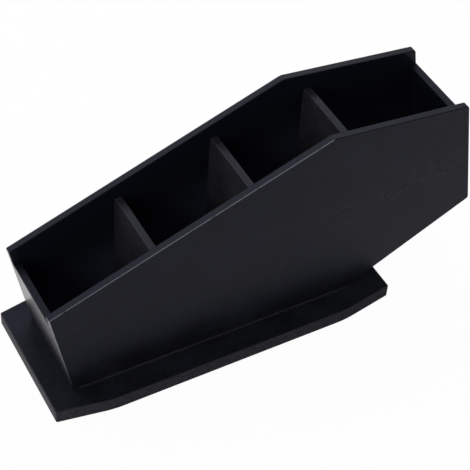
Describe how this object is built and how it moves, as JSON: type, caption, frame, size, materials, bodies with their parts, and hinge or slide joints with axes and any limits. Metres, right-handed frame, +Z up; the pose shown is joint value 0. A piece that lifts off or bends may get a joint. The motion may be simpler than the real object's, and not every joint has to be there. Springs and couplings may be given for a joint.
{
  "type": "brush organizer",
  "caption": "Coffin-shaped brush organizer: open compartments that deepen towards the head end, between side panels on a tapered base board.",
  "frame": {"origin": "middle of the whole length and width, on the surface that the base board stands on", "axes": "+X along the base board towards the high head end, +Y towards the back side panel, +Z up"},
  "size_m": [0.379, 0.128, 0.1869],
  "materials": {
    "panel_paint": "matte black paint on wooden board",
    "inner_paint": "matte black paint on wooden board",
    "base_paint": "matte black paint on wooden board",
    "screw_steel": "zinc-plated steel"
  },
  "bodies": {
    "root": {"base_board": "base_paint", "front_side_panel": "panel_paint", "back_side_panel": "panel_paint", "foot_board": "panel_paint", "head_board": "panel_paint", "floor_board": "inner_paint", "sloping_floor_board": "inner_paint", "lower_divider": "inner_paint", "middle_divider": "inner_paint", "upper_divider": "inner_paint", "base_screws": "screw_steel"}
  },
  "joints": []
}
